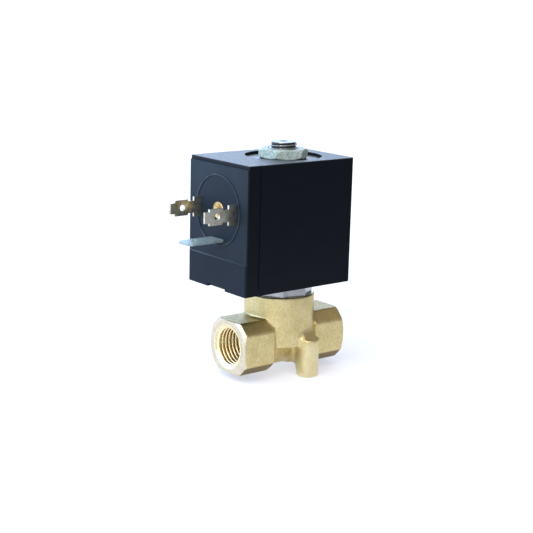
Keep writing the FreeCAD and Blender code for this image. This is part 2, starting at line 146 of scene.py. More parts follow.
BEAD_R = 11.0                 # bead round the connector
BEAD_Z = 54.9
LEDGE_Z = 40.2
INSERT_R = 2.7
INSERT_PITCH = 0.5
INSERT_THREAD_HEIGHT = 0.3
INSERT_DEPTH = 5.2
BLADE_EDGE = 0.09
SPRING_R = 2.4                # to the middle of the wire
SPRING_WIRE_R = 0.3
SPRING_TURNS = 8


# ---------------------------------------------------------------- mesh helpers
def linked(name, data):
    """New object in the scene."""
    made = bpy.data.objects.new(name, data)
    bpy.context.scene.collection.objects.link(made)
    return made


def finished(name, points, faces, body, smooth_angle=35.0):
    """New object from points in millimetres, smooth except over sharp edges, riding on a body."""
    mesh = bpy.data.meshes.new(name)
    mesh.from_pydata((np.asarray(points) * MM).tolist(), [], faces)
    mesh.validate()
    mesh.shade_smooth()
    mesh.set_sharp_from_angle(angle=math.radians(smooth_angle))
    piece = linked(name, mesh)
    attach(piece, body)
    return piece


def vertex_value(piece, name, values):
    """Per-point number that a material reads by name."""
    layer = piece.data.attributes.new(name, "FLOAT", "POINT")
    layer.data.foreach_set("value", np.asarray(values, np.float32))


def points_of(piece):
    """The piece's points in millimetres."""
    flat = np.zeros(len(piece.data.vertices) * 3, np.float32)
    piece.data.vertices.foreach_get("co", flat)
    return flat.reshape(-1, 3).astype(float) / MM


# ---------------------------------------------------------------- distance fields
def ramp(value, width):
    """0 where value is negative, rising to 1 where it passes width."""
    return np.clip(value / width, 0, 1)


def blend_min(a, b, width):
    """Union of two fields with a fillet."""
    gap = np.maximum(width - np.abs(a - b), 0.0)
    return np.minimum(a, b) - gap * gap / (4 * width)


def blend_max(a, b, width):
    """Intersection of two fields with a rounded edge."""
    return -blend_min(-a, -b, width)


def span(value, low, high):
    """Distance outside the slab from low to high."""
    return np.maximum(low - value, value - high)


def prism(a, b, sides, flats, turn, width):
    """Regular polygon in the (a, b) plane with a corner at the angle turn, in degrees."""
    field = None
    for i in range(sides):
        angle = math.radians(turn + (i + 0.5) * 360.0 / sides)
        side = a * math.cos(angle) + b * math.sin(angle) - flats / 2
        field = side if field is None else blend_max(field, side, width)
    return field


def gradient(field, points, step=0.01):
    parts = []
    for axis in range(3):
        offset = np.zeros(3)
        offset[axis] = step
        ahead = field(*(points + offset).T)
        behind = field(*(points - offset).T)
        parts.append((ahead - behind) / (2 * step))
    return np.stack(parts, -1)


def unit(vectors):
    return vectors / np.maximum(np.linalg.norm(vectors, axis=-1, keepdims=True), 1e-9)


def field_surface(field, low, high, cell):
    """Points and quads of a field's zero surface, by dual contouring, so that edges stay crisp."""
    low = np.asarray(low, float) - 2 * cell
    counts = np.ceil((np.asarray(high, float) + 2 * cell - low) / cell).astype(int) + 1
    axes = [low[i] + cell * np.arange(counts[i]) for i in range(3)]
    value = field(*np.meshgrid(*axes, indexing="ij"))
    inside = value < 0
    crossings, normals, owners, flips = [], [], [], []
    strides = np.array([counts[1] * counts[2], counts[2], 1])
    for axis in range(3):
        near = np.take(inside, range(counts[axis] - 1), axis)
        far = np.take(inside, range(1, counts[axis]), axis)
        index = np.argwhere(near != far)
        step = np.eye(3, dtype=int)[axis]
        value0 = value[tuple(index.T)]
        value1 = value[tuple((index + step).T)]
        share = value0 / (value0 - value1)
        point = low + cell * (index + share[:, None] * step)
        b, c = np.eye(3, dtype=int)[[(axis + 1) % 3, (axis + 2) % 3]]
        cells = [index - b - c, index - c, index, index - b]
        crossings.append(point)
        normals.append(unit(gradient(field, point)))
        owners.append(np.stack([(cells_at * strides).sum(1) for cells_at in cells], 1))
        flips.append(value0 > value1)
    crossings, normals = np.concatenate(crossings), np.concatenate(normals)
    owners, flips = np.concatenate(owners), np.concatenate(flips)
    names, quads = np.unique(owners, return_inverse=True)
    quads = quads.reshape(owners.shape)
    points = cell_points(crossings, normals, quads, len(names), cell)
    slope = gradient(field, points)
    shift = field(*points.T) / np.maximum((slope ** 2).sum(1), 0.25)
    points -= np.clip(shift, -0.2 * cell, 0.2 * cell)[:, None] * slope
    quads[flips] = quads[flips][:, ::-1]
    return points, quads


def cell_points(crossings, normals, quads, count, cell):
    """The point in each cell that lies best on the tangent planes of the crossings round it."""
    flat = quads.ravel()
    repeat = np.repeat(np.arange(len(crossings)), 4)
    weight = np.bincount(flat, minlength=count)
    middle = np.stack([np.bincount(flat, crossings[repeat, i], count) for i in range(3)], 1)
    middle /= weight[:, None]
    normal = normals[repeat]
    offset = ((crossings[repeat] - middle[flat]) * normal).sum(1)
    matrix = np.zeros((count, 3, 3))
    right = np.zeros((count, 3))
    for i in range(3):
        right[:, i] = np.bincount(flat, normal[:, i] * offset, count)
        for j in range(3):
            matrix[:, i, j] = np.bincount(flat, normal[:, i] * normal[:, j], count)
    matrix += 0.04 * weight[:, None, None] * np.eye(3)
    shift = np.linalg.solve(matrix, right[:, :, None])[:, :, 0]
    return middle + np.clip(shift, -0.6 * cell, 0.6 * cell)


def field_piece(name, field, low, high, cell, body, smooth_angle=35.0):
    points, quads = field_surface(field, low, high, cell)
    return finished(name, points, quads.tolist(), body, smooth_angle)


# ---------------------------------------------------------------- ring meshes
def grid_faces(rows, columns, close_rows):
    """Quads of a grid whose columns run round a ring."""
    bands = rows if close_rows else rows - 1
    i, j = np.meshgrid(np.arange(bands), np.arange(columns), indexing="ij")
    i2, j2 = (i + 1) % rows, (j + 1) % columns
    corners = [i * columns + j, i * columns + j2, i2 * columns + j2, i2 * columns + j]
    return np.stack(corners, -1).reshape(-1, 4)


def ring_points(radius, level, columns):
    """Points round +Z from arrays of radius and level, one row per profile point."""
    angle = np.arange(columns) * 2 * math.pi / columns
    radius = np.broadcast_to(radius, (len(radius), columns))
    level = np.broadcast_to(level, (len(level), columns))
    return np.stack([radius * np.cos(angle), radius * np.sin(angle), level], -1)


def thread_profile(level, columns, pitch, root, crest):
    """Radius of a right-hand thread at each level and angle: rounded crests and roots."""
    turn = np.arange(columns)[None, :] / columns
    phase = (level[:, None] / pitch - turn) % 1.0
    height = ramp(np.abs(2 * phase - 1) - 0.14, 0.72)
    height = height * height * (3 - 2 * height) * 0.5 + height * 0.5
    return root + (crest - root) * height


def rings(profile, columns):
    """Radii and levels of plain rings, from pairs of radius and level."""
    radii, levels = np.array(profile, float).T
    whole = np.ones((1, columns))
    return radii[:, None] * whole, levels[:, None] * whole


def turned_to(points, along, place):
    """Points turned so that +Z goes along a unit vector, then moved."""
    turn = np.array(Vector((0, 0, 1)).rotation_difference(Vector(along)).to_matrix())
    return points @ turn.T + np.asarray(place)


def threaded_sleeve(radius, height, pitch, depth, mouth, columns, outside):
    """Closed ring lining a tapped hole that runs down from level 0.

    Also returns how deep in the thread each point lies.
    """
    rows = int(depth / pitch * 16)
    level = -np.linspace(0, depth, rows)
    inner = thread_profile(level, columns, pitch, radius, radius - height)
    inner = np.maximum(inner, (radius + mouth + level * COUNTERSINK_SLOPE)[:, None])
    mouth_level = -mouth / COUNTERSINK_SLOPE
    outer_r = radius + outside
    outer, outer_levels = rings([(outer_r, -depth), (outer_r, mouth_level)], columns)
    radii = np.concatenate([inner, outer])
    levels = np.concatenate([np.broadcast_to(level[:, None], inner.shape), outer_levels])
    points = ring_points(radii, levels, columns).reshape(-1, 3)
    recess = np.clip(1 - (radius - radii) / height, 0, 1) * (levels < -mouth)
    return points, grid_faces(rows + 2, columns, True)[:, ::-1].tolist(), recess.ravel()


def turned_solid(radii, levels, columns):
    """Closed solid from a stack of rings, bottom to top, with a flat cap at each end."""
    points = ring_points(radii, levels, columns).reshape(-1, 3)
    rows = len(points) // columns
    faces = grid_faces(rows, columns, False).tolist()
    faces.append(list(range(columns))[::-1])
    faces.append(list(range((rows - 1) * columns, rows * columns)))
    return points, faces


def swept_tube(path, radius, sides):
    """Round bar along a path of points, with a flat end face at each end."""
    ahead = unit(np.gradient(path, axis=0))
    outward = unit(np.cross(ahead, (0, 0, 1.0)))
    upward = np.cross(outward, ahead)
    angle = np.arange(sides) * 2 * math.pi / sides
    across, up = np.cos(angle)[None, :, None], np.sin(angle)[None, :, None]
    ring = outward[:, None] * across + upward[:, None] * up
    points = (path[:, None] + radius * ring).reshape(-1, 3)
    rows = len(path)
    faces = grid_faces(rows, sides, False)[:, ::-1].tolist()
    faces.append(list(range(sides)))
    faces.append(list(range((rows - 1) * sides, rows * sides))[::-1])
    return points, faces


# ---------------------------------------------------------------- edge-broken copies
def weigh_edges(build, width, wide, on_rim):
    """Bevel weight of each sharp edge: 1 along the rim, less elsewhere."""
    layer = build.edges.layers.float.new("bevel_weight_edge")
    for edge in build.edges:
        if len(edge.link_faces) != 2 or edge.calc_face_angle(0.0) < math.radians(30):
            continue
        middle = (edge.verts[0].co + edge.verts[1].co) / 2 / MM
        edge[layer] = 1.0 if on_rim(*middle) else width / wide


def nowhere(x, y, z):
    return False


def broken_copy(node, name, body, slot, width, wide=None, on_rim=nowhere):
    """Copy of a CAD node with its sharp edges rounded by width, and by wide where on_rim says."""
    wide = wide or width
    build = bmesh.new()
    build.from_mesh(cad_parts[node].data)
    bmesh.ops.remove_doubles(build, verts=build.verts, dist=0.002 * MM)
    flat = math.radians(0.6)
    bmesh.ops.dissolve_limit(build, angle_limit=flat, verts=build.verts, edges=build.edges)
    weigh_edges(build, width, wide, on_rim)
    mesh = bpy.data.meshes.new(name)
    build.to_mesh(mesh)
    build.free()
    mesh.shade_smooth()
    draft = linked(name + "_draft", mesh)
    bevel = draft.modifiers.new("edges", "BEVEL")
    bevel.width = wide * MM
    bevel.segments = 3
    bevel.limit_method = "WEIGHT"
    bevel.miter_outer = "MITER_ARC"
    draft.modifiers.new("normals", "WEIGHTED_NORMAL").keep_sharp = True
    graph = bpy.context.evaluated_depsgraph_get()
    rounded = bpy.data.meshes.new_from_object(draft.evaluated_get(graph), depsgraph=graph)
    bpy.data.objects.remove(draft)
    bpy.data.meshes.remove(mesh)
    piece = linked(name, rounded)
    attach(piece, body)
    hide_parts(node)
    return painted(piece, slot)


# ---------------------------------------------------------------- materials
class Recipe:
    """Short hand for a tree of shader nodes."""

    def __init__(self, owner, place):
        owner.use_nodes = True
        self.tree = owner.node_tree
        self.place = self.tree.nodes.new("ShaderNodeTexCoord").outputs[place]

    def node(self, kind, inputs=None, **settings):
        made = self.tree.nodes.new(kind)
        for key, value in settings.items():
            setattr(made, key, value)
        for key, value in (inputs or {}).items():
            self.feed(made.inputs[key], value)
        return made

    def feed(self, socket, value):
        if isinstance(value, bpy.types.NodeSocket):
            self.tree.links.new(value, socket)
        else:
            socket.default_value = value

    def noise(self, size, detail=3.0, roughness=0.55, place=None):
        """Noise whose features are about size millimetres across."""
        inputs = {"Vector": place or self.place, "Scale": 1 / (size * MM)}
        made = self.node("ShaderNodeTexNoise", inputs)
        made.inputs["Detail"].default_value = detail
        made.inputs["Roughness"].default_value = roughness
        return made.outputs["Fac"]

    def spread(self, value, low, high, low_out=0.0, high_out=1.0):
        """Value stretched from low..high to low_out..high_out."""
        inputs = {"Value": value, "From Min": low, "From Max": high}
        inputs.update({"To Min": low_out, "To Max": high_out})
        return self.node("ShaderNodeMapRange", inputs).outputs["Result"]

    def math(self, operation, a, b=0.0):
        made = self.node("ShaderNodeMath", operation=operation)
        self.feed(made.inputs[0], a)
        self.feed(made.inputs[1], b)
        return made.outputs["Value"]

    def mix(self, share, a, b):
        """Colour mixed from a to b."""
        made = self.node("ShaderNodeMix", data_type="RGBA")
        self.feed(made.inputs["Factor"], share)
        self.feed(made.inputs["A"], a)
        self.feed(made.inputs["B"], b)
        return made.outputs["Result"]

    def value(self, name):
        return self.node("ShaderNodeAttribute", attribute_name=name).outputs["Fac"]

    def bump(self, height, depth, strength=1.0, below=None):
        """Bump whose full height is depth millimetres."""
        inputs = {"Height": height, "Distance": depth * MM, "Strength": strength}
        if below is not None:
            inputs["Normal"] = below
        return self.node("ShaderNodeBump", inputs).outputs["Normal"]


class Finish(Recipe):
    """A material: a Principled shader fed by nodes."""

    def __init__(self, name):
        self.material = bpy.data.materials.new(name)
        super().__init__(self.material, "Object")
        self.shader = self.tree.nodes["Principled BSDF"]

    def set(self, **inputs):
        for key, value in inputs.items():
            self.feed(self.shader.inputs[key.replace("_", " ")], value)
        return self.material


def rgb(r, g, b):
    return (r, g, b, 1.0)


def forged_brass():
    """Blasted brass; turned where the point value machined is 1, darker where the second point
    value paints shade, and lighter where that value is below 0.
    """
    m = Finish("forged_brass")
    machined = m.value("machined")
    painted_shade = m.value("painted_shade")
    speck = m.noise(0.42, 3.0, 0.7)
    cloud = m.noise(4.0, 4.0)
    skin = m.mix(m.spread(cloud, 0.35, 0.65), rgb(0.74, 0.64, 0.34), rgb(0.64, 0.54, 0.26))
    skin = m.mix(m.spread(speck, 0.50, 0.70, 0.0, 0.55), skin, rgb(0.46, 0.33, 0.12))
    skin = m.mix(m.spread(speck, 0.46, 0.30, 0.0, 0.40), skin, rgb(0.88, 0.78, 0.50))
    # painted shade: the skin darkens with the shade value, to near black above 1, and turns pale
    # cream below 0
    dark = m.mix(m.spread(speck, 0.42, 0.62), rgb(0.44, 0.33, 0.13), rgb(0.22, 0.14, 0.045))
    skin = m.mix(painted_shade, skin, dark)
    skin = m.mix(m.spread(painted_shade, 1.0, 2.0), skin, rgb(0.12, 0.085, 0.03))
    skin = m.mix(m.spread(painted_shade, 0.0, -1.0), skin, rgb(0.94, 0.89, 0.66))
    turned = m.mix(m.spread(m.noise(2.0), 0.3, 0.7), rgb(0.76, 0.71, 0.56), rgb(0.66, 0.60, 0.45))
    colour = m.mix(machined, skin, turned)
    rough_skin = m.spread(speck, 0.3, 0.7, 0.38, 0.52)
    rough = m.node("ShaderNodeMix", {"Factor": machined}, data_type="FLOAT")
    m.feed(rough.inputs["A"], rough_skin)
    m.feed(rough.inputs["B"], 0.24)
    grain = m.math("MULTIPLY", m.noise(0.34, 3.0, 0.65), m.math("SUBTRACT", 1.0, machined))
    normal = m.bump(grain, 0.06)
    return m.set(Base_Color=colour, Metallic=1.0, Roughness=rough.outputs["Result"], Normal=normal)


def plain_metal(name, light, dark, rough, grain=0.3, cloud_size=2.5, metallic=1.0):
    """Metal with soft clouding in its colour and gloss, and a fine grain."""
    m = Finish(name)
    cloud = m.noise(cloud_size, 4.0)
    colour = m.mix(m.spread(cloud, 0.35, 0.65), rgb(*light), rgb(*dark))
    roughness = m.spread(m.noise(cloud_size * 0.6), 0.3, 0.7, rough * 0.8, rough * 1.25)
    normal = m.bump(m.noise(grain, 3.0, 0.6), 0.004)
    return m.set(Base_Color=colour, Metallic=metallic, Roughness=roughness, Normal=normal)


def threaded_metal(name, crest, root, rough, start):
    """Bright thread crests over roots painted dark as shade, which begin at a share of the point
    value recess.
    """
    m = Finish(name)
    depth = m.spread(m.value("recess"), start, 0.95)
    depth = m.math("MULTIPLY", depth, m.spread(m.noise(1.2), 0.3, 0.7, 0.8, 1.0))
    colour = m.mix(depth, rgb(*crest), rgb(*root))
    roughness = m.spread(depth, 0.0, 1.0, rough, rough + 0.2)
    normal = m.bump(m.noise(0.2), 0.002)
    return m.set(Base_Color=colour, Metallic=1.0, Roughness=roughness, Normal=normal)


def tarnished_tin():
    """Tin over brass strip, yellow where it has worn."""
    m = Finish("tinned_brass")
    worn = m.spread(m.noise(2.2, 4.0, 0.7), 0.46, 0.62)
    colour = m.mix(worn, rgb(0.70, 0.70, 0.62), rgb(0.56, 0.51, 0.32))
    fleck = m.spread(m.noise(0.5, 3.0, 0.7), 0.55, 0.68, 0.0, 0.6)
    colour = m.mix(fleck, colour, rgb(0.24, 0.22, 0.17))
    roughness = m.spread(m.noise(1.0), 0.3, 0.7, 0.26, 0.40)
    normal = m.bump(m.noise(0.35), 0.006)
    return m.set(Base_Color=colour, Metallic=1.0, Roughness=roughness, Normal=normal)


def dull_tin():
    """Matt tin plating with a cold cast."""
    m = Finish("bright_tin")
    cloud = m.spread(m.noise(1.6, 4.0), 0.35, 0.65)
    colour = m.mix(cloud, rgb(0.37, 0.49, 0.53), rgb(0.27, 0.37, 0.40))
    roughness = m.spread(m.noise(0.8), 0.3, 0.7, 0.38, 0.50)
    normal = m.bump(m.noise(0.4), 0.004)
    return m.set(Base_Color=colour, Metallic=0.55, Roughness=roughness, Normal=normal)


def moulded(name, light, dark, rough, specular):
    """Moulded plastic with a fine spark-eroded grain."""
    m = Finish(name)
    cloud = m.noise(6.0, 4.0)
    colour = m.mix(m.spread(cloud, 0.3, 0.7), rgb(*light), rgb(*dark))
    roughness = m.spread(m.noise(1.8, 5.0), 0.3, 0.7, rough * 0.88, rough * 1.12)
    normal = m.bump(m.noise(0.16, 2.0, 0.7), 0.012)
    return m.set(Base_Color=colour, Roughness=roughness, Specular_IOR_Level=specular, Normal=normal)


def coil_resin():
    """Black glass-filled resin with painted light: the connector face is painted paler, more so
    above and outside its bead, with painted highlights on the bead and the ledge, painted shade
    towards the near side and below the ledge, and a painted sheen on the top face.
    """
    m = Finish("coil_resin")
    split = m.node("ShaderNodeSeparateXYZ", {"Vector": m.place})
    cloud = m.noise(7.0, 4.0)
    dark, darker = rgb(0.0034, 0.0052, 0.0088), rgb(0.0026, 0.0043, 0.0074)
    skin = m.mix(m.spread(cloud, 0.3, 0.7), dark, darker)
    # painted light on the connector face, paler higher up
    height = m.spread(split.outputs["Z"], 0.040, 0.068)
    painted_face_light = m.mix(height, rgb(0.0105, 0.0205, 0.0360), rgb(0.0270, 0.0440, 0.0670))
    painted_face_light = m.mix(m.spread(cloud, 0.3, 0.7, 0.0, 0.45), painted_face_light, rgb(0.0120, 0.0220, 0.0350))
    centre = m.node("ShaderNodeVectorMath", {0: m.place}, operation="SUBTRACT")
    centre.inputs[1].default_value = (COIL_LOW[0] * MM, 0.0, BEAD_Z * MM)
    radius = m.node("ShaderNodeVectorMath", {0: centre.outputs[0]}, operation="LENGTH")
    radius = radius.outputs["Value"]
    # less painted light inside the bead
    inside = m.spread(radius, (BEAD_R - 0.6) * MM, (BEAD_R - 0.1) * MM, 0.45, 0.0)
    painted_face_light = m.mix(inside, painted_face_light, rgb(0.0060, 0.0125, 0.0230))
    # painted highlight along the bead
    painted_highlight = m.math("SUBTRACT", radius, BEAD_R * MM)
    painted_highlight = m.spread(m.math("ABSOLUTE", painted_highlight), 0.10 * MM, 0.34 * MM, 0.55, 0.0)
    painted_highlight = m.math("MULTIPLY", painted_highlight, m.spread(m.noise(5.0), 0.40, 0.60))
    painted_face_light = m.mix(painted_highlight, painted_face_light, rgb(0.0850, 0.1050, 0.1200))
    # painted shade towards the near side
    painted_shade_near_side = m.spread(split.outputs["Y"], -0.014, 0.004, 0.45, 0.0)
    painted_face_light = m.mix(painted_shade_near_side, painted_face_light, rgb(0.0100, 0.0190, 0.0260))
    # painted shade below the ledge
    below = m.spread(split.outputs["Z"], (LEDGE_Z + 0.1) * MM, (LEDGE_Z - 0.2) * MM)
    painted_face_light = m.mix(below, painted_face_light, rgb(0.0062, 0.0130, 0.0240))
    # painted highlight along the ledge
    edge = m.math("SUBTRACT", split.outputs["Z"], LEDGE_Z * MM)
    edge = m.spread(m.math("ABSOLUTE", edge), 0.08 * MM, 0.26 * MM, 0.8, 0.0)
    edge = m.math("MULTIPLY", edge, m.spread(split.outputs["Y"], -0.012, 0.004, 0.25, 1.0))
    painted_face_light = m.mix(edge, painted_face_light, rgb(0.0850, 0.1150, 0.1350))
    # only the connector face takes the painted light
    connector = m.spread(split.outputs["X"], -0.0254, -0.0246, 1.0, 0.0)
    # painted sheen on the top face
    upper = m.spread(split.outputs["Z"], (COIL_HIGH[2] - 0.25) * MM, (COIL_HIGH[2] - 0.05) * MM)
    skin = m.mix(upper, skin, rgb(0.068, 0.078, 0.090))
    colour = m.mix(connector, skin, painted_face_light)
    roughness = m.spread(m.noise(1.8, 5.0), 0.3, 0.7, 0.33, 0.42)
    normal = m.bump(m.noise(0.16, 2.0, 0.7), 0.010)
    return m.set(Base_Color=colour, Roughness=roughness, Specular_IOR_Level=0.10, Normal=normal)


# light colour, dark colour, roughness
PLAIN_METALS = {
    # gland_plate: plating darkened as painted shade from the coil block above
    "gland_plate": ((0.45, 0.46, 0.48), (0.35, 0.36, 0.38), 0.26),
    "yoke_plate": ((0.30, 0.31, 0.32), (0.22, 0.23, 0.24), 0.45),
    "stainless": ((0.66, 0.65, 0.63), (0.58, 0.57, 0.56), 0.26),
    "insert_brass": ((0.88, 0.68, 0.36), (0.78, 0.56, 0.26), 0.24),
    "copper": ((0.72, 0.30, 0.14), (0.60, 0.22, 0.09), 0.30),
    "pure_copper": ((0.85, 0.45, 0.30), (0.75, 0.36, 0.22), 0.28),
    "spring_steel": ((0.12, 0.125, 0.14), (0.08, 0.085, 0.095), 0.46),
}
# crest colour, root colour (painted shade), roughness, where the roots begin
THREADED_METALS = {
    "turned_brass": ((0.96, 0.84, 0.52), (0.62, 0.34, 0.11), 0.22, 0.15),
    "threaded_steel": ((0.46, 0.47, 0.48), (0.05, 0.05, 0.052), 0.20, 0.30),
}
# light colour, dark colour, roughness, specular level
MOULDINGS = {
    "bobbin_resin": ((0.020, 0.022, 0.026), (0.014, 0.016, 0.019), 0.50, 0.4),
    "tape": ((0.62, 0.46, 0.08), (0.55, 0.40, 0.06), 0.35, 0.5),
    "seal_rubber": ((0.016, 0.016, 0.017), (0.011, 0.011, 0.012), 0.62, 0.35),
}
MATERIALS = {
    "forged_brass": forged_brass(),
    "zinc_plate": plain_metal(
        "zinc_plate", (0.50, 0.60, 0.57), (0.28, 0.37, 0.35), 0.46,
        grain=0.6, cloud_size=0.8, metallic=0.05),
    "tinned_brass": tarnished_tin(),
    "bright_tin": dull_tin(),
    "coil_resin": coil_resin(),
}
MATERIALS.update({name: plain_metal(name, *look) for name, look in PLAIN_METALS.items()})
MATERIALS.update({name: threaded_metal(name, *look) for name, look in THREADED_METALS.items()})
MATERIALS.update({name: moulded(name, *look) for name, look in MOULDINGS.items()})


def painted(piece, material):
    piece.data.materials.clear()
    piece.data.materials.append(MATERIALS[material])
    return piece


# ---------------------------------------------------------------- brass body
def port_block(along, across, up):
    """Rectangle with cut corners, turned off at the end face."""
    flat = np.maximum(np.abs(across) - BLOCK_WIDTH / 2, np.abs(up) - BLOCK_HEIGHT / 2)
    cut = (np.abs(across) + np.abs(up) - (BLOCK_WIDTH + BLOCK_SIDE) / 2) * math.sqrt(0.5)
    section = blend_max(flat, cut, 0.35)
    radius = np.hypot(across, up)
    chamfer = (radius - BLOCK_FACE_R) * 0.5 + (along - PORT_END) * math.sqrt(0.75)
    block = blend_max(section, np.maximum(chamfer, along - PORT_END), 0.15)
    return blend_max(block, PORT_END - BLOCK_LENGTH - along, FORGED_EDGE)


def foot_distance(x, y):
    """Distance from the axis of the nearer foot."""
    side = np.where(y < 0, 1.0, -1.0)
    return np.hypot(x * side - FOOT_X, np.abs(y) - FOOT_Y)


def forging(x, y, z):
    """The forged outside, before any machining, and how much of it is fillet."""
    port_r = np.hypot(y, z - PORT_Z)
    along = np.abs(x)
    boss = blend_max(np.hypot(x, y) - BOSS_R, span(z, BOSS_BOTTOM_Z, BOSS_TOP_Z), FORGED_EDGE)
    barrel = np.maximum(port_r - BARREL_R, along - (PORT_END - BLOCK_LENGTH + 2.0))
    block = port_block(along, y, z - PORT_Z)
    side = np.where(y < 0, 1.0, -1.0)
    foot_x = x * side - FOOT_X
    foot_y = FOOT_Y - np.abs(y)
    pillar = blend_max(np.hypot(foot_x, foot_y) - FOOT_R, span(z, 0.0, FOOT_TOP_Z), FORGED_EDGE)
    rib = np.maximum(np.abs(foot_x) - RIB_WIDTH / 2, span(z, RIB_Z, PORT_Z))
    rib = np.maximum(rib, span(foot_y, 0.0, FOOT_Y - BARREL_R / 2))
    lower = blend_min(barrel, blend_min(pillar, rib, RIB_FILLET), FOOT_FILLET)
    lower = blend_min(lower, block, BLOCK_FILLET)
    above_foot = ramp(foot_y + 3.5, 2.5) * ramp(4.5 - np.abs(foot_x), 2.0)
    solid = blend_min(boss, lower, BOSS_FILLET + BOSS_FILLET_AT_FOOT * above_foot)
    hard = np.minimum.reduce([boss, barrel, block, pillar, rib])
    return solid, hard - solid


def body_bores(x, y, z):
    """Everything that machining takes out of the forging."""
    port_r = np.hypot(y, z - PORT_Z)
    along = np.abs(x)
    axis_r = np.hypot(x, y)
    bore = np.maximum(port_r - PORT_THREAD_R, PORT_END - PORT_THREAD_DEPTH - along)
    mouth = port_r - PORT_THREAD_R - PORT_MOUTH + COUNTERSINK_SLOPE * (PORT_END - along)
    mouth = mouth / math.hypot(1, COUNTERSINK_SLOPE)
    chamber = np.maximum(axis_r - CHAMBER_R, span(z, CHAMBER_FLOOR_Z, NECK_Z + 1))
    seat = np.maximum(axis_r - SEAT_R - (SEAT_Z - z) * 0.45, z - SEAT_Z)
    chamber = np.maximum(chamber, -seat)
    neck = np.maximum(axis_r - NECK_R, NECK_Z - z)
    neck_mouth = (axis_r - NECK_R - 0.5 + BOSS_TOP_Z - z) * math.sqrt(0.5)
    outlet = np.maximum(port_r - PASSAGE_R, span(x, -ORIFICE_R - 0.5, PORT_END))
    inlet = np.maximum(port_r - PASSAGE_R, span(x, -PORT_END, INLET_X - ORIFICE_R))
    orifice = np.maximum(axis_r - ORIFICE_R, span(z, PORT_Z, SEAT_Z + 1))
    riser = np.maximum(np.hypot(x - INLET_X, y) - ORIFICE_R, span(z, PORT_Z, CHAMBER_FLOOR_Z + 1))
    screw = np.maximum(foot_distance(x, y) - FOOT_THREAD_R, z - FOOT_THREAD_DEPTH)
    bores = [bore, mouth, chamber, neck, neck_mouth, outlet, inlet, orifice, riser, screw]
    return np.minimum.reduce(bores)


def ripple(x, y, z, waves, seed, shortest, longest):
    """Smooth random undulation from -1 to 1: a sum of plane waves."""
    random = np.random.default_rng(seed)
    total = 0.0
    for _ in range(waves):
        wave = unit(random.normal(size=3)) * 2 * math.pi / random.uniform(shortest, longest)
        total = total + np.sin(wave[0] * x + wave[1] * y + wave[2] * z + random.uniform(0, 6.28))
    return total / math.sqrt(waves)


def body_field(x, y, z):
    solid, _ = forging(x, y, z)
    skin = SKIN_DEPTH * ripple(x, y, z, waves=14, seed=3, shortest=1.4, longest=4.5)
    ends = np.maximum(np.abs(x) - PORT_END, np.maximum(z - BOSS_TOP_Z, -z))
    solid = np.maximum(solid + 0.02 + skin, ends)
    return np.maximum(solid, -body_bores(x, y, z))


def body_machined(x, y, z):
    """Where the forging has been turned, bored or faced."""
    past_end = np.abs(x) - PORT_END
    end_chamfer = (np.hypot(y, z - PORT_Z) - BLOCK_FACE_R) * 0.5 + past_end * math.sqrt(0.75)
    ends = (np.abs(x) > PORT_END - 0.12) | (end_chamfer > -0.08)
    bores = body_bores(x, y, z) < 0.08
    return ends | bores | (z > BOSS_TOP_Z - 0.1) | (z < 0.1)


def body_painted_shade(x, y, z):
    """How dark the skin is painted, mostly as painted shade and partly as grime in the fillets: 1
    is dark, 2 nearly black, and less than 0 lighter than plain.
    """
    height = z - PORT_Z
    port_r = np.hypot(y, height)
    from_foot = foot_distance(x, y)
    flats = ramp(height - BLOCK_SIDE / 2 + 0.1, 0.6) * PAINTED_SHADE_SLOPE
    flats = np.maximum(flats, ramp(height - BLOCK_HEIGHT / 2 + 0.5, 0.3) * PAINTED_SHADE_TOP)
    flats = np.maximum(flats, ramp(-height - BLOCK_SIDE / 2, 0.6) * PAINTED_SHADE_UNDER)
    off_boss = np.hypot(x, y) > BOSS_R + 0.1
    on_block = ramp(np.abs(x) - PORT_END + BLOCK_LENGTH + 0.3, 0.8) * off_boss
    barrel = ramp(BOSS_BOTTOM_Z - z, 0.5) * ramp(BARREL_R + 0.6 - port_r, 0.8) * PAINTED_SHADE_BARREL
    _, fillet = forging(x, y, z)
    near_foot = FILLET_EASE_NEAR_FOOT * ramp(FOOT_R + 3.0 - from_foot, 2.0)
    fillet = ramp(fillet, 0.3) * (FILLET_GRIME_AND_SHADE - near_foot) * np.clip(1.6 - height / 6.0, 0.2, 1)
    foot = ramp(FOOT_R + 0.15 - from_foot, 0.3) * ramp(FOOT_TOP_Z - z, 3.0)
    return np.maximum(np.maximum(flats * on_block, barrel), fillet) - FOOT_LIGHTENING * foot


def make_valve_body():
    piece = field_piece(
        "valve_body_forging", body_field, BODY_LOW, BODY_HIGH, cell=0.29,
        body="valve", smooth_angle=40.0)
    x, y, z = points_of(piece).T
    vertex_value(piece, "machined", body_machined(x, y, z))
    vertex_value(piece, "painted_shade", body_painted_shade(x, y, z))
    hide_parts("valve_body")
    return painted(piece, "forged_brass")


def tapped_piece(name, sleeve, along, place):
    """Threaded lining of a hole in the brass body."""
    points, faces, recess = sleeve
    piece = finished(name, turned_to(points, along, place), faces, "valve", 60.0)
    vertex_value(piece, "recess", recess)
    return painted(piece, "turned_brass")


